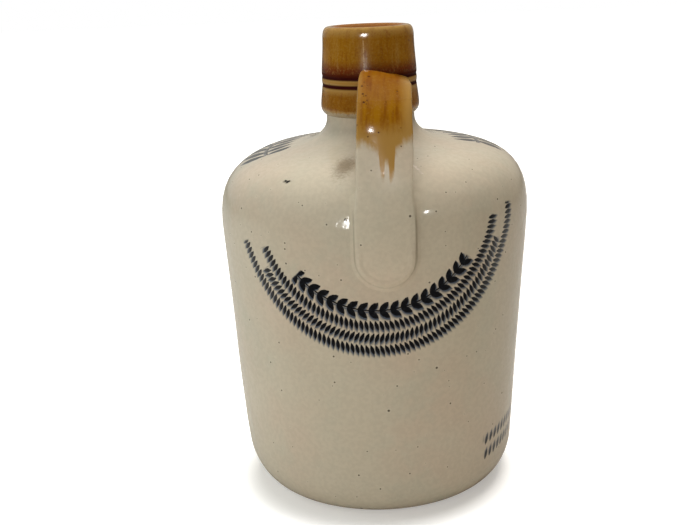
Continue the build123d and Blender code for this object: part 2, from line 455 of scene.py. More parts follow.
def collar_outline(sizes, neck_top):
    """Section of the collar: lower edge, grooved side, lip, tapered bore and the socket over the neck."""
    foot = sizes.foot_height - sizes.skirt
    lip = sizes.top_height - sizes.lip_height
    crest = (sizes.top_radius + sizes.mouth_radius) / 2
    lip_half = (sizes.top_radius - sizes.mouth_radius) / 2
    side = sizes.radius - sizes.waist
    rounding = Vector((0, 0, 0.7 * EDGE_ROUND))
    knots = [
        knot(sizes.socket_radius - SOCKET_OVERLAP, foot + EDGE_LIFT),
        knot(sizes.radius - EDGE_ROUND, foot + EDGE_LIFT, leave=(ROUND * EDGE_ROUND, 0, 0.1 * EDGE_ROUND)),
        knot(sizes.radius, foot + 1.6 * EDGE_ROUND, -rounding, rounding),
    ]
    for height in (sizes.groove_height, sizes.groove_height + sizes.groove_pitch):
        knots += [
            knot(side, height - sizes.groove_half, kind="AUTO"),
            knot(side - sizes.groove_depth, height, kind="AUTO"),
            knot(side, height + sizes.groove_half, kind="AUTO"),
        ]
    knots += [
        knot(sizes.top_radius, lip - SIDE_DROP, SIDE_ARRIVE, SIDE_LEAVE),
        knot(crest, sizes.top_height, (0.8 * lip_half, 0, 0), (-ROUND * lip_half, 0, 0)),
        knot(sizes.mouth_radius, lip, arrive=(0, 0, ROUND * sizes.lip_height)),
        knot(sizes.bore_radius, neck_top),
        knot(sizes.socket_radius, neck_top),
    ]
    return knots


class JUG_OT_collar(bpy.types.Operator):
    """Turns the grooved mouth collar"""
    bl_idname = "jug.collar"
    bl_label = "Turn Collar"

    def execute(self, context):
        scene = context.scene
        sizes = scene.jug_collar
        piece = turn_outline("mouth_ring", collar_outline(sizes, scene.jug_body.neck_top), closed=True)
        for vertex in piece.data.vertices:
            level = ramp(vertex.co.z, sizes.top_height - LIP_TILT_REACH, sizes.top_height)
            vertex.co.z -= level * sizes.lip_tilt * vertex.co.y / sizes.top_radius
        finish_piece(piece, collar_glaze(scene), "jug", "honey_glaze", "mouth_collar")
        return {"FINISHED"}


# Handle

def tail_wall():
    """Radius of the wall that the strap's tail lies on."""
    return bpy.context.scene.jug_body.belly_radius


def strap_place(sizes, out, height):
    """Place on the strap's centre plane, which is turned about the tail by the skew."""
    turn = Matrix.Rotation(sizes.skew, 3, "Z")
    return Vector((0, -tail_wall(), 0)) + turn @ Vector((0, tail_wall() - out, 0)) + Vector((0, 0, height))


def strap_lateral(sizes, place):
    """Distance of a place from the strap's centre plane."""
    turn = Matrix.Rotation(-sizes.skew, 3, "Z")
    return (turn @ (place + Vector((0, tail_wall(), 0)))).x


def bend_knots(before, corner, after, radius):
    """Two knots and their handles for a round bend at a corner."""
    arriving = (corner - before).normalized()
    leaving = (after - corner).normalized()
    turn = arriving.angle(leaving)
    reach = radius * math.tan(turn / 2)
    handle = 4 / 3 * math.tan(turn / 4) * radius
    return [knot_at(corner - arriving * reach, leave=arriving * handle),
            knot_at(corner + leaving * reach, arrive=-leaving * handle)]


TWIST_SHARES = (0.6, 1.0, 1.0, 0.35, 0.0, 0.0)


def strap_path(sizes):
    """Curve along the strap's centre line."""
    root = strap_place(sizes, sizes.root_out, sizes.root_height)
    crest = strap_place(sizes, sizes.crest_out, sizes.crest_height)
    knee = strap_place(sizes, sizes.knee_out, sizes.knee_height)
    tip = strap_place(sizes, sizes.tip_out, sizes.tip_height)
    knots = ([knot_at(root)] + bend_knots(root, crest, knee, sizes.crest_bend)
             + bend_knots(crest, knee, tip, sizes.knee_bend) + [knot_at(tip)])
    for each, part in zip(knots, TWIST_SHARES):
        each["tilt"] = part * sizes.twist
    return draw_curve("strap_path", knots)


def blend_along(at, stations):
    """Value at a share of the strap's length, smooth between (share, value) stations."""
    for (low, first), (high, second) in zip(stations, stations[1:]):
        if at <= high:
            return first + (second - first) * ramp(at, low, high)
    return stations[-1][1]


STRAP_COLUMNS = 64
STRAP_ROWS = 10
TAIL_CROWDING = 1.6
LEAST_ROUNDING = 0.001


def strap_sheet(sizes, path_length):
    """Flat sheet along +X with the strap's outline, round at the tail, to be bent and thickened."""
    tongue = 0.97 * sizes.tail_width
    widths = [(0, sizes.root_width), (0.25, sizes.crest_width), (0.5, sizes.grip_width),
              (0.66, sizes.waist_width), (0.8, sizes.tail_width), (0.9, tongue), (1, tongue)]
    start_piece()
    bpy.ops.mesh.primitive_grid_add(x_subdivisions=STRAP_COLUMNS, y_subdivisions=STRAP_ROWS, size=2)
    piece = bpy.context.object
    piece.name = "handle_strap"
    round_end = sizes.tail_width / 2
    for vertex in piece.data.vertices:
        at = 1 - ((1 - vertex.co.x) / 2) ** TAIL_CROWDING
        along = at * path_length
        past = max(0.0, along - (path_length - round_end)) / round_end
        half = blend_along(at, widths) / 2 * math.sqrt(max(LEAST_ROUNDING, 1 - past * past))
        across = vertex.co.y
        vertex.co = Vector((along, across * half, -sizes.crown * across * across))
    return piece


def strap_thickness(sizes, at):
    """Thickness of the strap at a share of its length."""
    return blend_along(at, [(0, sizes.root_thickness), (0.35, sizes.grip_thickness + 0.4 * MM),
                            (0.6, sizes.grip_thickness), (0.88, sizes.tail_thickness),
                            (1, 0.55 * sizes.tail_thickness)])


SMEAR_SINK = 0.25 * MM
SMEAR_DEPTH = 2.5 * MM
# Where the slip's slope starts and ends, measured out from the strap's outline, and spare faces past that
TAIL_START, TAIL_REACH, TAIL_SPARE = -1.5 * MM, 4 * MM, 2 * MM
ROOT_START, ROOT_REACH, ROOT_SPARE = -1 * MM, 3.2 * MM, 1.3 * MM
# How far the tail's slip goes up past the knee
TAIL_TOP = 9 * MM
# The root's slip starts from an outline narrower, flatter and lower than the strap's end
ROOT_NARROWING = 1 * MM
ROOT_FLATTENING = 3 * MM
ROOT_DROP = 0.5 * MM
# The collar takes slip only in front of this line
COLLAR_FRONT = -3 * MM


def take_patch(source, name, inside):
    """Copy of the source's faces whose middle passes the test, as a piece of its own."""
    pick_faces(source, lambda face: inside(face.center, face.normal))
    bpy.ops.mesh.duplicate()
    bpy.ops.mesh.separate(type="SELECTED")
    bpy.ops.object.mode_set(mode="OBJECT")
    patch = next((each for each in bpy.context.selected_objects if each != source), None)
    if patch is None:
        raise RuntimeError(f"{source.name} has no faces under {name}")
    patch.name = name
    return patch


def raise_patch(patch, sizes, gap, near, far):
    """Lifts a patch up to near the strap and sinks its rim, at far, under the surface that it came from."""
    make_active(patch)
    bpy.ops.object.mode_set(mode="EDIT")
    bpy.ops.mesh.select_all(action="SELECT")
    bpy.ops.mesh.subdivide(number_cuts=1)
    bpy.ops.object.mode_set(mode="OBJECT")
    vertices = patch.data.vertices
    lifts = [sizes.smear - (sizes.smear + SMEAR_SINK) * ramp(gap(vertex.co), near, far)
             for vertex in vertices]
    normals = [vertex.normal.copy() for vertex in vertices]
    for vertex, normal, lift in zip(vertices, normals, lifts):
        vertex.co += normal * lift
    apply_modifier(patch, "SOLIDIFY", thickness=SMEAR_DEPTH, offset=-1)


def box_gap(across, up):
    """Distance from a rectangle's outline, below 0 inside it, from the distances past its two sides."""
    return math.hypot(max(0.0, across), max(0.0, up)) + min(0.0, max(across, up))


def tail_patch(sizes, body):
    """Slip smeared on the wall and shoulder round the strap's tongue."""
    half = sizes.tail_width / 2
    middle = sizes.tip_height + half
    top = sizes.knee_height + TAIL_TOP

    def gap(place):
        lateral = abs(strap_lateral(sizes, place))
        if place.z < middle:
            return math.hypot(lateral, place.z - middle) - half
        return box_gap(lateral - half, place.z - top)

    def inside(spot, normal):
        return spot.y < 0 and normal.y < 0 and gap(spot) < TAIL_REACH + TAIL_SPARE

    patch = take_patch(body, "tail_smear", inside)
    raise_patch(patch, sizes, gap, TAIL_START, TAIL_REACH)
    return patch


def root_patch(sizes, collar):
    """Slip smeared on the collar round the strap's root."""
    half = sizes.root_width / 2 - ROOT_NARROWING
    tall = sizes.root_thickness / 2 - ROOT_FLATTENING

    def gap(place):
        lateral = abs(strap_lateral(sizes, place)) - half
        return box_gap(lateral, abs(place.z - sizes.root_height + ROOT_DROP) - tall)

    def inside(spot, normal):
        outward = normal.x * spot.x + normal.y * spot.y > 0
        return spot.y < COLLAR_FRONT and outward and gap(spot) < ROOT_REACH + ROOT_SPARE

    patch = take_patch(collar, "root_smear", inside)
    raise_patch(patch, sizes, gap, ROOT_START, ROOT_REACH)
    return patch


EDGE_THINNING = 0.15
SKIN_VOXEL = 0.5 * MM


class JUG_OT_handle(bpy.types.Operator):
    """Pulls the strap, bends it on to the jug and smears its ends on"""
    bl_idname = "jug.handle"
    bl_label = "Pull Handle"

    def execute(self, context):
        sizes = context.scene.jug_handle
        path = strap_path(sizes)
        path_length = path.data.splines[0].calc_length()
        piece = strap_sheet(sizes, path_length)
        thickest = sizes.root_thickness
        widest = sizes.tail_width / 2

        def thickness(place):
            rounding = 1 - EDGE_THINNING * min(1.0, abs(place.y) / widest) ** 4
            return rounding * strap_thickness(sizes, place.x / path_length) / thickest

        group = weigh(piece, "thickness", thickness)
        apply_modifier(piece, "SOLIDIFY", thickness=thickest, offset=0, vertex_group=group,
                       use_even_offset=True, edge_crease_inner=0.5, edge_crease_outer=0.5)
        apply_modifier(piece, "SUBSURF", levels=2, render_levels=2)
        apply_modifier(piece, "CURVE", object=path, deform_axis="POS_X")
        patches = [tail_patch(sizes, made("jug_body")), root_patch(sizes, made("mouth_ring"))]
        make_active(piece)
        for patch in patches:
            patch.select_set(True)
        bpy.ops.object.join()
        apply_modifier(piece, "REMESH", mode="VOXEL", voxel_size=SKIN_VOXEL)
        apply_modifier(piece, "SMOOTH", factor=0.5, iterations=14)
        bpy.data.objects.remove(path)
        finish_piece(piece, handle_glaze(context.scene), "jug", "handle_glaze",
                     "strap_handle", "handle_top_lute", "handle_tail_lute")
        return {"FINISHED"}


# Cork

CORK_SIDES = 96
CORK_RINGS = 6
CORK_PLAY = 0.25 * MM
CORK_EDGE = 0.8 * MM
CORK_RING_WIDTH = 1.6 * MM
CORK_GRAIN_SIZE = 1.6 * MM
CORK_GRAIN_DEPTH = 0.35 * MM
# How far a face's normal points up or down: on an end, on an end's flat part, and at most on the side
END_FACING = 0.9
FLAT_FACING = 0.999
SIDE_FACING = 0.3


class JUG_OT_cork(bpy.types.Operator):
    """Cuts the tapered cork"""
    bl_idname = "jug.cork"
    bl_label = "Cut Cork"

    def execute(self, context):
        collar = context.scene.jug_collar
        tall = CORK_HIGH.z - CORK_LOW.z
        top = CORK_HIGH.x - CORK_PLAY
        taper = (collar.mouth_radius - collar.bore_radius) / (
            collar.top_height - collar.lip_height - context.scene.jug_body.neck_top)
        start_piece()
        bpy.ops.mesh.primitive_cone_add(vertices=CORK_SIDES, radius1=top - taper * tall, radius2=top,
                                        depth=tall, end_fill_type="NGON",
                                        location=(0, 0, CORK_LOW.z + tall / 2))
        piece = bpy.context.object
        piece.name = "cork"
        bpy.ops.object.transform_apply()
        pick_faces(piece, lambda face: abs(face.normal.z) > END_FACING)
        bpy.ops.mesh.bevel(offset=CORK_EDGE, segments=3, affect="EDGES")
        pick_faces(piece, lambda face: abs(face.normal.z) > FLAT_FACING)
        for _ in range(CORK_RINGS):
            bpy.ops.mesh.inset(thickness=CORK_RING_WIDTH)
        bpy.ops.mesh.select_all(action="SELECT")
        bpy.ops.mesh.subdivide(number_cuts=1)
        bpy.ops.object.mode_set(mode="OBJECT")
        pick_faces(piece, lambda face: abs(face.normal.z) < SIDE_FACING)
        bpy.ops.mesh.subdivide(number_cuts=3)
        bpy.ops.object.mode_set(mode="OBJECT")
        apply_modifier(piece, "DISPLACE", texture=clouds("cork_grain", CORK_GRAIN_SIZE),
                       texture_coords="LOCAL", strength=CORK_GRAIN_DEPTH, mid_level=1.0)
        finish_piece(piece, cork_material(context.scene), "stopper", "cork", "cork_stopper")
        return {"FINISHED"}


# Materials

def reckon(operation, swapped=False):
    """Method that joins a wire and another value by a Math node, in this order or swapped."""
    def method(self, other):
        return self.sheet.math(operation, *((other, self) if swapped else (self, other)))
    return method


class Wire:
    """A value that runs through a node tree: a number, a place in millimetres or a colour."""

    def __init__(self, sheet, socket):
        self.sheet, self.socket = sheet, socket

    __add__ = __radd__ = reckon("ADD")
    __sub__, __rsub__ = reckon("SUBTRACT"), reckon("SUBTRACT", swapped=True)
    __mul__ = __rmul__ = reckon("MULTIPLY")
    __truediv__ = reckon("DIVIDE")
    at_least, at_most = reckon("MAXIMUM"), reckon("MINIMUM")
    above, under = reckon("GREATER_THAN"), reckon("LESS_THAN")
    bearing = reckon("ARCTAN2")

    def __abs__(self):
        return self.sheet.math("ABSOLUTE", self)

    def hypot(self, other):
        """Length of the way that has these two square parts."""
        return self.sheet.math("POWER", self * self + other * other, 0.5)

    def step(self, low, high, to_low=0.0, to_high=1.0):
        """Smooth step from one value at low to another at high."""
        return self.sheet.result("ShaderNodeMapRange", self, low, high, to_low, to_high,
                                 interpolation_type="SMOOTHSTEP")

    def band(self, low, high, soft):
        """1 between low and high, with soft ends."""
        return self.step(low - soft, low + soft) * self.step(high - soft, high + soft, 1.0, 0.0)

    def parts(self):
        """The three parts of a place."""
        node = self.sheet.add("ShaderNodeSeparateXYZ")
        self.sheet.feed(node.inputs[0], self)
        return [Wire(self.sheet, socket) for socket in node.outputs]

    def mapped(self, kind, location, turn, scale=(1, 1, 1)):
        """Place seen from a pattern's own middle, turn about the jug's axis and size."""
        return self.sheet.result("ShaderNodeMapping", self, location, (0, 0, turn), scale, vector_type=kind)

    def noise(self, scale, detail=2.0, roughness=0.5):
        """Noise from 0 to 1 with about scale waves to a millimetre."""
        node = self.sheet.add("ShaderNodeTexNoise")
        self.sheet.feed_named(node, vector=self, scale=scale, detail=detail, roughness=roughness)
        return self.sheet.wire(node, "Fac")

    def tinted(self, *layers):
        """This colour with others laid over it, given as shares and colours."""
        tone = self
        for part, over in layers:
            tone = self.sheet.mix(part, tone, over)
        return tone


class Sheet:
    """A node tree that is being wired."""

    def __init__(self, tree):
        self.tree = tree

    def add(self, kind, **settings):
        """New node with its settings."""
        node = self.tree.nodes.new(kind)
        for key, value in settings.items():
            setattr(node, key, value)
        return node

    def wire(self, node, output=0):
        """One of a node's outputs."""
        return Wire(self, node.outputs[output])

    def feed(self, socket, value):
        """Links a wire to a socket, or sets a plain value there."""
        if isinstance(value, Wire):
            self.tree.links.new(value.socket, socket)
        else:
            socket.default_value = value

    def feed_named(self, node, **values):
        """Feeds a node's inputs by their names."""
        for label, value in values.items():
            self.feed(node.inputs[label.replace("_", " ").title()], value)

    def result(self, kind, *values, output=0, **settings):
        """Output of a new node whose inputs are fed in their order."""
        node = self.add(kind, **settings)
        for socket, value in zip(node.inputs, values):
            self.feed(socket, value)
        return self.wire(node, output)

    def math(self, operation, *values):
        """Result of a Math node."""
        return self.result("ShaderNodeMath", *values, operation=operation)

    def vector(self, operation, *values, output="Vector"):
        """Result of a Vector Math node."""
        return self.result("ShaderNodeVectorMath", *values, output=output, operation=operation)

    def join(self, *parts):
        """Place from its three parts."""
        return self.result("ShaderNodeCombineXYZ", *parts)

    def mix(self, factor, first, second):
        """Colour between two colours."""
        node = self.add("ShaderNodeMix", data_type="RGBA")
        self.feed(node.inputs[0], factor)
        for socket, value in zip(node.inputs[6:8], (first, second)):
            self.feed(socket, value if isinstance(value, Wire) else (*value, 1.0))
        return self.wire(node, 2)

    def group(self, tree, **inputs):
        """Outputs by name of a node group that is fed by name."""
        node = self.add("ShaderNodeGroup", node_tree=tree)
        self.feed_named(node, **inputs)
        return {socket.name: Wire(self, socket) for socket in node.outputs}

    def place(self):
        """Object coordinates in millimetres."""
        coordinates = self.wire(self.add("ShaderNodeTexCoord"), "Object")
        return self.vector("MULTIPLY", coordinates, (1 / MM, 1 / MM, 1 / MM))


def shared_group(name, labels, kind, build):
    """Node group that is built once, from wires with these labels, and then used again."""
    tree = bpy.data.node_groups.get(name)
    if tree is None:
        tree = bpy.data.node_groups.new(name, "ShaderNodeTree")
        for label in labels:
            tree.interface.new_socket(label, in_out="INPUT", socket_type=kind)
        sheet = Sheet(tree)
        given = sheet.add("NodeGroupInput")
        outputs = build(*(sheet.wire(given, label) for label in labels))
        for label in outputs:
            tree.interface.new_socket(label, in_out="OUTPUT", socket_type="NodeSocketFloat")
        sheet.feed_named(sheet.add("NodeGroupOutput"), **outputs)
    return tree


# Specks and pits in the glaze: the cell that may hold one, their radii and how many cells stay empty
SMALL_SPECKS = {"cell": 4.0, "smallest": 0.16, "largest": 0.34, "rarity": 0.4}
LARGE_SPECKS = {"cell": 10.5, "smallest": 0.36, "largest": 0.62, "rarity": 0.5}
CREST_PITS = {"cell": 1.25, "smallest": 0.24, "largest": 0.5, "rarity": 0.3}


def speck_layer(place, cell, smallest, largest, rarity):
    """Round specks of mixed sizes, about one to every few cells, and the rims round them."""
    sheet = place.sheet
    voronoi = sheet.add("ShaderNodeTexVoronoi")
    sheet.feed_named(voronoi, vector=place, scale=1 / cell)
    chance = sheet.wire(voronoi, "Color").parts()[0]
    shown = chance.above(rarity)
    radius = (chance.step(rarity, 1.0, 0.0, largest - smallest) + smallest) * shown
    gap = radius - sheet.wire(voronoi, "Distance") * cell
    return gap.step(-0.12, 0.1), gap.band(-0.5, -0.1, 0.15) * shown


def glaze_skin():
    """Group of what every glaze here has: slow clouds, iron specks with a pale rim, pinholes, a ripple."""
    def build(place):
        small, small_rims = speck_layer(place, **SMALL_SPECKS)
        large, large_rims = speck_layer(place, **LARGE_SPECKS)
        specks, grain = small.at_least(large), place.noise(0.6)
        ripple = grain * 0.032 + place.noise(0.09, detail=1.0) * 0.3 + specks * -0.12
        return {"Clouds": place.noise(0.055, 4.0, 0.6), "Drift": place.noise(0.021, 3.0, 0.55),
                "Specks": specks, "Rims": small_rims.at_least(large_rims), "Grain": grain, "Ripple": ripple}

    return shared_group("glaze skin", ("Place",), "NodeSocketVector", build)


def leaf_row():
    """Group that draws a row of pointed leaves or strokes along a line, all lengths in millimetres."""
    def build(along, across, pitch, leaf, breadth, offset, slant, mirror, stem, soft):
        sheet = along.sheet
        along = (sheet.math("FRACT", along / pitch) - 0.5) * pitch
        folded = abs(across)
        off = across + (folded - across) * mirror - offset
        cosine, sine = sheet.math("COSINE", slant), sheet.math("SINE", slant)
        part = (along * cosine + off * sine) / leaf
        edge = breadth * (1.0 - part * part) - abs(off * cosine - along * sine)
        return {"Ink": edge.at_least(stem - folded).step(soft * -1.0, soft)}

    labels = ("Along", "Across", "Pitch", "Leaf", "Breadth", "Offset", "Slant", "Mirror", "Stem", "Soft")
    return shared_group("leaf row", labels, "NodeSocketFloat", build)


# Printed ornament: lengths in millimetres, the rows' spreads in degrees, other angles in radians
INK_SOFT = 0.13
BLEED_SOFT = 1.1
BLEED_SINK = 0.75
PRINT_SHAKE = 0.55
PRINT_END = 0.01
UNROLL_RADIUS = 61.0
SWAG_MIDDLE_ARC = -3.0
SWAG_MIDDLE_HEIGHT = 132.0
STROKE = {"pitch": 1.9, "leaf": 2.1, "breadth": 0.72, "offset": 0.0, "mirror": 0.0, "stem": -2.0}
SWAG_LEAF = {"pitch": 4.0, "leaf": 2.6, "breadth": 1.15, "offset": 1.4, "slant": 0.75, "mirror": 1.0,
             "stem": 0.28}
# Each row of the swag: radius, spread to the left and to the right, and its leaf
SWAG_ROWS = ((42.6, 46, 54, SWAG_LEAF), (48.6, 65, 76, {**STROKE, "slant": 1.25}),
             (53.5, 57, 67, {**STROKE, "slant": -1.2}), (58.3, 70, 81, {**STROKE, "slant": 1.2}))
GARLAND_OUT = 42.5
GARLAND_RADIUS = 42.0
GARLAND_FOOT = 132.0
GARLAND_SPREAD = 1.72
GARLAND_INK = 0.86
GARLAND_LEAF = {"pitch": 7.4, "leaf": 6.3, "breadth": 2.2, "offset": 5.0, "slant": 0.95, "mirror": 1.0,
                "stem": 0.35}
# Each low row: height at the front, first and last degree round the jug
LOW_ROWS = ((19.6, 43, 78), (13.1, 44, 72))
LOW_RADIUS = 57.0
LOW_RISE = 0.13
LOW_INK = 0.9
LOW_STROKE = {**STROKE, "pitch": 3.1, "breadth": 0.85, "slant": 1.3}


def print_row(along, across, window, leaf):
    """Ink and bleed of one printed row inside its window."""
    sheet = along.sheet
    ink = sheet.group(leaf_row(), along=along, across=across, soft=INK_SOFT, **leaf)["Ink"]
    bleed = sheet.group(leaf_row(), along=along, across=across - BLEED_SINK, soft=BLEED_SOFT, **leaf)["Ink"]
    return ink * window, bleed * window


def printed_ornament(place):
    """Cobalt ornament: a leaf swag under the handle, a garland on the far shoulder and two short rows."""
    x, y, z = place.parts()
    z = z + (place.noise(1.1) - 0.5) * PRINT_SHAKE
    turn, back_turn = x.bearing(y * -1.0), x.bearing(y)
    across, below = turn * UNROLL_RADIUS - SWAG_MIDDLE_ARC, SWAG_MIDDLE_HEIGHT - z
    swing, reach = across.bearing(below), across.hypot(below)
    rows = []
    for radius, left, right, leaf in SWAG_ROWS:
        window = swing.band(-math.radians(left), math.radians(right), PRINT_END)
        rows.append(print_row(swing * radius, reach - radius, window, leaf))
    window = back_turn.band(-GARLAND_SPREAD, GARLAND_SPREAD, 2 * PRINT_END)
    window = window * z.step(GARLAND_FOOT, GARLAND_FOOT + 1.0, 0.0, GARLAND_INK)
    rows.append(print_row(back_turn * GARLAND_RADIUS, x.hypot(y) - GARLAND_OUT, window, GARLAND_LEAF))
    along = turn * LOW_RADIUS
    for height, start, end in LOW_ROWS:
        window = turn.band(math.radians(start), math.radians(end), PRINT_END) * LOW_INK
        rows.append(print_row(along, z - (along * LOW_RISE + height), window, LOW_STROKE))
    ink, bleed = rows[0]
    for next_ink, next_bleed in rows[1:]:
        ink, bleed = ink.at_least(next_ink), bleed.at_least(next_bleed)
    return ink, bleed


def new_material(name):
    """Material with its sheet and its surface shader."""
    material = bpy.data.materials.new(name)
    material.use_nodes = True
    material.node_tree.nodes.clear()
    sheet = Sheet(material.node_tree)
    surface = sheet.add("ShaderNodeBsdfPrincipled")
    sheet.feed(sheet.add("ShaderNodeOutputMaterial").inputs[0], sheet.wire(surface))
    return material, sheet, surface


def new_glaze(name):
    """Material with its surface shader, a place in millimetres and the glaze's skin there."""
    material, sheet, surface = new_material(name)
    place = sheet.place()
    return material, surface, place, sheet.group(glaze_skin(), place=place)


def lay_on(surface, tone, roughness, relief):
    """Gives a surface its colour, its roughness and its relief in millimetres."""
    sheet = tone.sheet
    bump = sheet.add("ShaderNodeBump")
    sheet.feed_named(bump, strength=1.0, distance=MM, height=relief)
    sheet.feed_named(surface, base_color=tone, roughness=roughness, normal=sheet.wire(bump))


COAT_ROUGHNESS = 0.14


def lay_coat(surface, weight, gloss_below):
    """Gives a surface a clear coat of changing weight, with little gloss below it."""
    surface.inputs["Specular IOR Level"].default_value = gloss_below
    weight.sheet.feed_named(surface, coat_weight=weight, coat_roughness=COAT_ROUGHNESS)


def cream_colour(glazes, skin):
    """Cream glaze with warm and cool clouds and iron specks."""
    warm = skin["Drift"].step(0.42, 0.68)
    return warm.sheet.mix(warm, glazes.cream, glazes.cream_warm).tinted(
        (skin["Clouds"].step(0.45, 0.75, 0.0, 0.7), glazes.cream_cool),
        (skin["Grain"].step(0.35, 0.65, 0.0, 0.1), glazes.grey_brown_and_shade),
        (skin["Rims"] * 0.12, glazes.speck_rim),
        (skin["Specks"] * 0.85, glazes.speck))


# Marks on the body in millimetres: the middle, then half sizes outwards, round the jug and up
GREY_BROWN_PATCH = (-12.5, -41.5, 139.5), (13.0, 6.0, 13.0)
NICK = (-33.8, -42.1, 134.7), (1.4, 2.6, 1.05)
LUMPS = (-14.0, -56.0, 127.0), (14.0, 14.0, 14.0)
# A wrinkle's two ends: a ridge in the glaze whose pale line is partly thin glaze, partly a painted highlight
WRINKLE = (11.9, -42.9, 139.9), (15.4, -49.0, 136.8)
# Heights between which the bare foot turns into glaze
GLAZE_EDGE = 0.7, 1.3


def mark_distance(place, mark):
    """Distance from a mark's middle in shares of its half sizes."""
    middle, half_sizes = mark
    own_place = place.mapped("TEXTURE", middle, math.atan2(middle[1], middle[0]), half_sizes)
    return place.sheet.vector("LENGTH", own_place, output="Value")


def line_distance(place, start, end):
    """Distance from a short straight line, in millimetres."""
    sheet, way = place.sheet, Vector(end) - Vector(start)
    from_start = sheet.vector("SUBTRACT", place, start)
    part = sheet.vector("DOT_PRODUCT", from_start, way / way.length_squared, output="Value")
    along = sheet.vector("MULTIPLY", way, part.at_least(0.0).at_most(1.0))
    return sheet.vector("DISTANCE", from_start, along, output="Value")


def cream_glaze(scene):
    """Glossy cream glaze with the printed ornament under it, and bare clay under the foot."""
    glazes = scene.jug_glazes
    material, surface, place, skin = new_glaze("cream glaze")
    height = place.parts()[2]
    streaks = place.noise(0.9, 4.0, 0.7)
    # A grey-brown patch left of the strap's root
    grey_brown_and_shade = (mark_distance(place, GREY_BROWN_PATCH) + streaks * 1.4).step(0.8, 1.7, 0.8, 0.0)
    nick = (mark_distance(place, NICK) + streaks * 1.2).step(1.3, 1.6, 1.0, 0.0)
    # A raised wrinkle whose pale line is partly thin glaze and partly a painted highlight
    wrinkle_and_highlight = (line_distance(place, *WRINKLE) + (streaks - 0.5) * 2.2).band(-0.4, 0.5, 0.25)
    ink, bleed = printed_ornament(place)
    worn = place.noise(0.8, 3.0).step(0.3, 0.5, 0.93, 1.0)
    bare = (height + streaks * 0.8).step(*GLAZE_EDGE, 1.0, 0.0)
    tone = cream_colour(glazes, skin).tinted(
        (grey_brown_and_shade, glazes.grey_brown_and_shade), (nick, glazes.cobalt), (wrinkle_and_highlight * 0.9, glazes.wrinkle_and_highlight),
        ((bleed * 1.35).at_most(0.9), glazes.bleed), (ink * worn, glazes.cobalt), (bare, glazes.bisque))
    thrown = place.sheet.join(0.0, 0.0, height).noise(0.24) * 0.05
    lumps = place.noise(0.4) * mark_distance(place, LUMPS).step(0.6, 1.0, 0.13, 0.0)
    lay_on(surface, tone, skin["Clouds"].step(0.3, 0.7, 0.08, 0.14) + bare * 0.55,
           skin["Ripple"] + wrinkle_and_highlight * 0.12 + thrown + lumps)
    return material


def height_ramp(height, stops):
    """Colours at heights, as a ramp from the lowest to the highest stop."""
    low, high = stops[0][0], stops[-1][0]
    node = height.sheet.add("ShaderNodeValToRGB")
    height.sheet.feed(node.inputs[0], (height - low) / (high - low))
    elements = node.color_ramp.elements
    while len(elements) < len(stops):
        elements.new(0.5)
    for element, (stop, value) in zip(elements, stops):
        element.position = (stop - low) / (high - low)
        element.color = (*value, 1.0)
    return height.sheet.wire(node)


def between(first, second, part):
    """Colour that lies part of the way from one colour to another."""
    return Vector(first).lerp(Vector(second), part)


# How far the dip's colours wander up and down outside the grooves, and where a thin painted highlight runs
# down its front
DIP_WANDER = 2.4
GLINT_TRAIL = -2.9, -2.5


def collar_glaze(scene):
    """Honey dip on the collar: pooled dark in and over the grooves, thin over the lip and the lower edge."""
    glazes, sizes = scene.jug_glazes, scene.jug_collar
    pale, full, deep, pool = glazes.honey_pale, glazes.honey, glazes.honey_deep, glazes.honey_pool
    material, surface, place, skin = new_glaze("honey glaze")
    x, y, z = place.parts()
    foot, crest = sizes.foot_height / MM, sizes.top_height / MM
    half = sizes.groove_half / MM
    lower = sizes.groove_height / MM
    upper = lower + sizes.groove_pitch / MM
    streaks = place.sheet.join(x, y, z * 0.12).noise(0.5, 5.0, 0.65)
    mottle = place.noise(1.3, 3.0, 0.7)
    free = 1.0 - z.band(lower - half - 1.0, upper + half + 0.8, 0.4)
    low_coat = between(full, deep, 0.28)
    tone = height_ramp(z + (streaks - 0.5) * (free * DIP_WANDER), [
        (foot - 1.5, glazes.skirt), (foot, glazes.skirt), (foot + 0.7, pale), (foot + 1.5, low_coat),
        (lower - half - 2.6, low_coat), (lower - half - 0.2, pale), (lower - half + 0.4, pool),
        (lower + half - 0.5, pool), (lower + half + 0.1, pale),
        ((lower + upper) / 2, between(pale, full, 0.4)),
        (upper - half - 0.1, pale), (upper - half + 0.5, pool), (upper + half - 0.8, pool),
        (upper + half + 2.4, deep), (upper + half + 6, full), (crest - 4, full), (crest - 0.6, pale),
        (crest + 0.5, pale)])
    # Painted highlight: a thin pale beaded line down the collar's front, under the glint
    run = (x + streaks * 0.6).band(*GLINT_TRAIL, 0.16) * y.under(0.0)
    run = run * z.band(upper + half + 1.5, crest - 3.5, 1.0)
    glint_beads = place.noise(1.3, detail=1.0).step(0.35, 0.65, 0.05, 0.5)
    crest_out = (sizes.top_radius + sizes.mouth_radius) / 2 / MM
    inside = x.hypot(y).step(crest_out - 1.2, crest_out + 0.3, 0.8, 0.0)
    tone = tone.tinted(
        (free * streaks.step(0.5, 0.72, 0.0, 0.5), deep), (free * streaks.step(0.5, 0.3, 0.0, 0.35), pale),
        (free * mottle.step(0.5, 0.68, 0.0, 0.3), pale), (free * mottle.step(0.48, 0.34, 0.0, 0.3), deep),
        (run * glint_beads, glazes.glint_trail_colour), (inside, glazes.honey_inside), (skin["Specks"] * 0.7, glazes.speck))
    grooves = z.band(lower - half, lower + half, 0.3).at_least(z.band(upper - half, upper + half + 0.6, 0.3))
    lay_on(surface, tone, skin["Clouds"].step(0.3, 0.7, 0.1, 0.2) + grooves * 0.4, skin["Ripple"])
    lay_coat(surface, 0.72 - grooves * 0.68, gloss_below=0.02)
    return material


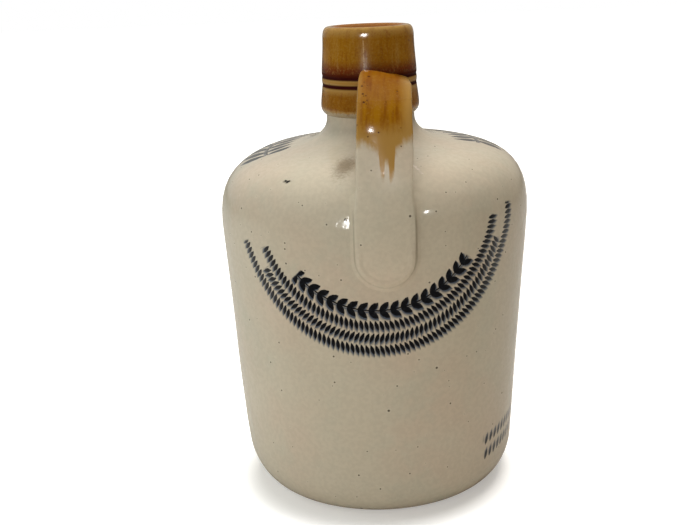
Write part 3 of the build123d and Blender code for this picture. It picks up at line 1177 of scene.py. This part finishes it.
# Heights on the strap in millimetres: where the dip starts and thickens, where the crest shines and darkens
DIP_EDGE = 148.0, 152.6
DIP_THICK = 151.5, 158.5
CREST_SHEEN = 160.0, 167.0
CREST_DEPTH = 160.0, 171.0
# How far the dip's edge wanders up and down
DIP_RAGGED = 5.0
# The strap's pitted patch: across the strap and up
PITTED_ACROSS = -8.3, -5.4
PITTED_UP = 162.0, 170.0
# Where the dip turns pale towards the strap's left and right edges: thin over them, and a painted highlight
# along them
PALE_LEFT = -6.5, -9.8
PALE_RIGHT = 5.0, 9.6
# Tail heights: where the painted shade in its crease deepens and where that ends, and where the rolled edge
# ends
CREASE_SHADE_DEEPENS = 98.0, 116.0
CREASE_SHADE_ENDS = 122.0, 130.0
ROLL_ENDS = 108.0, 120.0
# Runs of the dip: middle, half width, share of the width at full length, and length
HONEY_RUNS = ((1.3, 7.0, 0.1, 4.0), (1.3, 2.9, 0.5, 2.8), (-0.5, 1.0, 0.7, 4.6), (3.0, 1.15, 0.7, 5.2))


def handle_glaze(scene):
    """Cream glaze on the strap with the honey dip over its crest and two runs down its front."""
    glazes, sizes = scene.jug_glazes, scene.jug_handle
    pale, full, deep = glazes.honey_pale, glazes.honey, glazes.honey_deep
    material, surface, place, skin = new_glaze("handle glaze")
    sheet = place.sheet
    to_tail = Matrix.Rotation(-sizes.skew, 3, "Z") @ Vector((0, tail_wall() / MM, 0))
    lateral, depth, height = place.mapped("POINT", to_tail, -sizes.skew).parts()
    ragged = sheet.join(lateral, depth, height * 0.35).noise(0.45, 4.0, 0.6)
    line = height + (ragged - 0.5) * DIP_RAGGED
    thick = line.step(*DIP_THICK)
    for middle, half, sharp, drop in HONEY_RUNS:
        line = line + (abs(lateral - middle) / half).step(sharp, 1.1, drop, 0.0)
    honey = line.step(*DIP_EDGE)
    streaks = sheet.join(lateral, 0.0, (depth + height) * 0.1).noise(0.5, 5.0, 0.65)
    mottle = place.noise(1.1, 3.0, 0.7)
    pitted = lateral.band(*PITTED_ACROSS, 0.6) * height.band(*PITTED_UP, 1.0)
    pits = skin["Specks"].at_least(speck_layer(place, **CREST_PITS)[0] * pitted)
    dipped = sheet.mix(thick, between(pale, full, 0.12), full).tinted(
        (thick * streaks.step(0.42, 0.68, 0.0, 0.6), deep), (height.step(*CREST_DEPTH, 0.0, 0.4), deep),
        # Pale edges: the dip thins over them, and a painted highlight runs along them
        (lateral.step(*PALE_LEFT, 0.0, 0.6), pale), (lateral.step(*PALE_RIGHT, 0.0, 0.85), pale),
        (mottle.step(0.5, 0.68, 0.0, 0.22), pale), (pits * 0.85, glazes.honey_pool))
    half_tail = sizes.tail_width / 2 / MM
    below = (sizes.tip_height / MM + half_tail - height).at_least(0.0)
    beside = lateral.hypot(below) - (half_tail + 0.1)
    # Painted shade: a dark line in the crease where the tongue's sides meet the wall
    sides = height.step(*CREASE_SHADE_DEEPENS, 0.25, 0.6) * height.step(*CREASE_SHADE_ENDS, 1.0, 0.0)
    crease_shade = beside.band(-0.25, 0.25, 0.35) * sides
    rolled = beside.band(-2.4, -0.9, 0.9) * height.step(*ROLL_ENDS, 0.3, 0.0)
    tone = cream_colour(glazes, skin).tinted((crease_shade, glazes.grey_brown_and_shade), (honey, dipped))
    satin = height.step(*CREST_SHEEN, 0.16, -0.08)
    lay_on(surface, tone, skin["Clouds"].step(0.3, 0.7, 0.26, 0.32) - honey * satin, skin["Ripple"] + rolled)
    lay_coat(surface, honey * height.step(*CREST_SHEEN, 0.24, 0.06), gloss_below=0.08)
    return material


def cork_material(scene):
    """Raw cork with pores and growth lines."""
    glazes = scene.jug_glazes
    material, sheet, surface = new_material("raw cork")
    place = sheet.place()
    grain = place.noise(0.7, 5.0, 0.7)
    pores = place.noise(0.45, 3.0).step(0.6, 0.68)
    tone = sheet.mix(grain.step(0.35, 0.65, 0.0, 0.6), glazes.cork, glazes.cork_grain)
    lay_on(surface, tone.tinted((pores * 0.85, glazes.cork_dark)), 0.85, grain * 0.2 - pores * 0.35)
    return material


# Stage

WHITE = (1.0, 1.0, 1.0)
FLOOR_SIZE = 6
SENSOR_WIDTH = 36
LAMP_AIM = Vector((0, 0, 0.1))
# Soft lamps: name, place, size, power and tint
SOFT_LAMPS = (("window_left", (-0.9, 0.05, 0.55), 0.7, 1.9, (0.86, 1.0, 1.1)),
              ("overhead", (0.08, 0.22, 1.1), 0.8, 12.2, WHITE),
              ("front_fill", (-0.3, -1.05, 0.5), 0.8, 2.5, WHITE))
# Lamps for one glint each: name, place, size, power and the piece that shows it
GLINTS = (("collar_glint", (-0.19, -0.78, 0.36), 0.18, 5.0, "mouth_ring"),
          ("handle_glint", (0.12, -0.66, 0.7), 0.06, 2.2, "handle_strap"),
          ("shoulder_glint", (-0.26, -0.81, 0.24), 0.13, 1.8, "jug_body"),
          ("side_glint", (0.45, -0.69, 0.37), 0.03, 0.3, "jug_body"))
# The floor's colours as they light the jug, and then as its glaze mirrors them
FLOOR_LEFT, FLOOR_RIGHT = (0.84, 0.82, 0.77), (0.52, 0.47, 0.4)
FLOOR_FRONT, FLOOR_BACK = (0.12, 0.11, 0.1), (0.58, 0.55, 0.5)
# Where those colours change across and away, in millimetres, and the floor's own glow as light
FLOOR_ACROSS = -40.0, 180.0
FLOOR_AWAY = -130.0, -10.0
FLOOR_GLOW = 0.08
# The surroundings' tints on the left and on the right
SKY_LEFT, SKY_RIGHT = (0.95, 0.98, 0.96), (1.0, 0.89, 0.74)
# Directions between which they change across and away, with their strength as light and as mirrored
SKY_ACROSS, SKY_LIGHT = (-0.9, 0.9), (0.28, 0.16)
SKY_AWAY, SKY_MIRRORED = (0.2, 0.95), (0.08, 0.42)
# Painted shadow, the floor's glow dimmed round the foot: its middle and where it fades out, in millimetres,
# and how light it stays
SHADOW_MIDDLE = -3.0, -4.0
SHADOW_FADE = 50.0, 68.0
SHADOW_LIGHT = 0.31


def soft_light(name, place, size, power, tint=WHITE):
    """Large square lamp aimed at the jug, which the glaze doesn't mirror."""
    start_piece()
    bpy.ops.object.light_add(type="AREA", location=place)
    lamp = bpy.context.object
    lamp.name = name
    lamp.data.size = size
    lamp.data.energy = power
    lamp.data.color = tint
    lamp.visible_glossy = False
    lamp.rotation_euler = (LAMP_AIM - Vector(place)).to_track_quat("-Z", "Y").to_euler()
    return lamp


def glint(name, place, size, power, piece):
    """Small lamp that shows only as a glint in one piece's glaze."""
    lamp = soft_light(name, place, size, power)
    lamp.visible_glossy = True
    lamp.visible_diffuse = False
    receivers = bpy.data.collections.new(name)
    receivers.objects.link(made(piece))
    lamp.light_linking.receiver_collection = receivers


def floor_material():
    """Pale floor that reads as white and keeps the jug's shadow, with its glow dimmed round the foot as a
    painted shadow.
    """
    material, sheet, surface = new_material("pale floor")
    path = sheet.add("ShaderNodeLightPath")
    x, y, _ = sheet.place().parts()
    lit = sheet.mix(x.step(*FLOOR_ACROSS), FLOOR_LEFT, FLOOR_RIGHT)
    mirrored = sheet.mix(y.step(*FLOOR_AWAY), FLOOR_FRONT, FLOOR_BACK)
    # Painted shadow: the floor's glow is dimmed round the foot
    painted_shadow_fade = (x - SHADOW_MIDDLE[0]).hypot(y - SHADOW_MIDDLE[1]).step(*SHADOW_FADE, SHADOW_LIGHT, 1.0)
    glow = sheet.wire(path, "Is Camera Ray") * painted_shadow_fade + sheet.wire(path, "Is Diffuse Ray") * FLOOR_GLOW
    tone = lit.tinted((sheet.wire(path, "Is Glossy Ray"), mirrored))
    sheet.feed_named(surface, base_color=tone, roughness=0.9, emission_color=(*WHITE, 1.0),
                     emission_strength=glow)
    surface.inputs["Specular IOR Level"].default_value = 0.0
    return material


def light_world(scene):
    """White surroundings where they are seen, dimmer and tinted where they light the jug."""
    world = bpy.data.worlds.new("studio")
    scene.world = world
    world.use_nodes = True
    world.node_tree.nodes.clear()
    sheet = Sheet(world.node_tree)
    background = sheet.add("ShaderNodeBackground")
    sheet.feed(sheet.add("ShaderNodeOutputWorld").inputs[0], sheet.wire(background))
    path = sheet.add("ShaderNodeLightPath")
    seen = sheet.wire(path, "Is Camera Ray")
    right, far, _ = sheet.wire(sheet.add("ShaderNodeTexCoord"), "Generated").parts()
    side = right.step(*SKY_ACROSS, *SKY_LIGHT)
    glow = far.step(*SKY_AWAY, *SKY_MIRRORED)
    soft = side + sheet.wire(path, "Is Glossy Ray") * (glow - side)
    tint = sheet.mix(right.step(*SKY_ACROSS), SKY_LEFT, SKY_RIGHT)
    sheet.feed_named(background, color=tint.tinted((seen, WHITE)), strength=soft.at_least(seen))


def place_camera(scene):
    """Camera at the photograph's viewing angle."""
    studio = scene.jug_studio
    start_piece()
    bpy.ops.object.camera_add()
    camera = bpy.context.object
    camera.name = "camera"
    camera.data.lens = studio.lens
    camera.data.sensor_width = SENSOR_WIDTH
    camera.data.clip_start = 10 * MM
    level = Vector((math.sin(studio.pan), math.cos(studio.pan), 0))
    forward = math.cos(studio.tilt) * level - Vector((0, 0, math.sin(studio.tilt)))
    right = Vector((math.cos(studio.pan), -math.sin(studio.pan), 0))
    up = right.cross(forward)
    rolled_right = math.cos(studio.roll) * right + math.sin(studio.roll) * up
    rolled_up = -math.sin(studio.roll) * right + math.cos(studio.roll) * up
    turn = Matrix((rolled_right, rolled_up, -forward)).transposed()
    around = Matrix.Rotation(studio.azimuth, 3, "Z")
    spot = around @ Vector((0, -studio.distance, studio.height))
    camera.matrix_world = Matrix.Translation(spot) @ (around @ turn).to_4x4()
    scene.camera = camera


class JUG_OT_stage(bpy.types.Operator):
    """Sets the pale floor, the soft lamps and the camera"""
    bl_idname = "jug.stage"
    bl_label = "Set Stage"

    def execute(self, context):
        scene = context.scene
        start_piece()
        bpy.ops.mesh.primitive_plane_add(size=FLOOR_SIZE)
        floor = bpy.context.object
        floor.name = "floor"
        floor.data.materials.append(floor_material())
        light_world(scene)
        for lamp in SOFT_LAMPS:
            soft_light(*lamp)
        for lamp in GLINTS:
            glint(*lamp)
        place_camera(scene)
        scene.view_settings.view_transform = "Standard"
        return {"FINISHED"}


class JUG_PT_tools(bpy.types.Panel):
    """Sidebar panel with the jug's pieces"""
    bl_idname = "JUG_PT_tools"
    bl_label = "Stoneware Jug"
    bl_space_type = "VIEW_3D"
    bl_region_type = "UI"
    bl_category = "Jug"

    def draw(self, context):
        for operator in OPERATORS:
            self.layout.operator(operator.bl_idname)


OPERATORS = (JUG_OT_body, JUG_OT_collar, JUG_OT_handle, JUG_OT_cork, JUG_OT_stage)
SETTINGS = {"jug_body": JugBodySizes, "jug_collar": JugCollarSizes, "jug_handle": JugHandleSizes,
            "jug_glazes": JugGlazes, "jug_studio": JugStudio}


def register():
    for kind in (*SETTINGS.values(), *OPERATORS, JUG_PT_tools):
        bpy.utils.register_class(kind)
    for name, kind in SETTINGS.items():
        setattr(bpy.types.Scene, name, PointerProperty(type=kind))


def unregister():
    for name in SETTINGS:
        delattr(bpy.types.Scene, name)
    for kind in reversed((*SETTINGS.values(), *OPERATORS, JUG_PT_tools)):
        bpy.utils.unregister_class(kind)


def main():
    register()
    bpy.ops.jug.body()
    bpy.ops.jug.collar()
    bpy.ops.jug.handle()
    bpy.ops.jug.cork()
    bpy.ops.jug.stage()


if __name__ == "__main__":
    main()
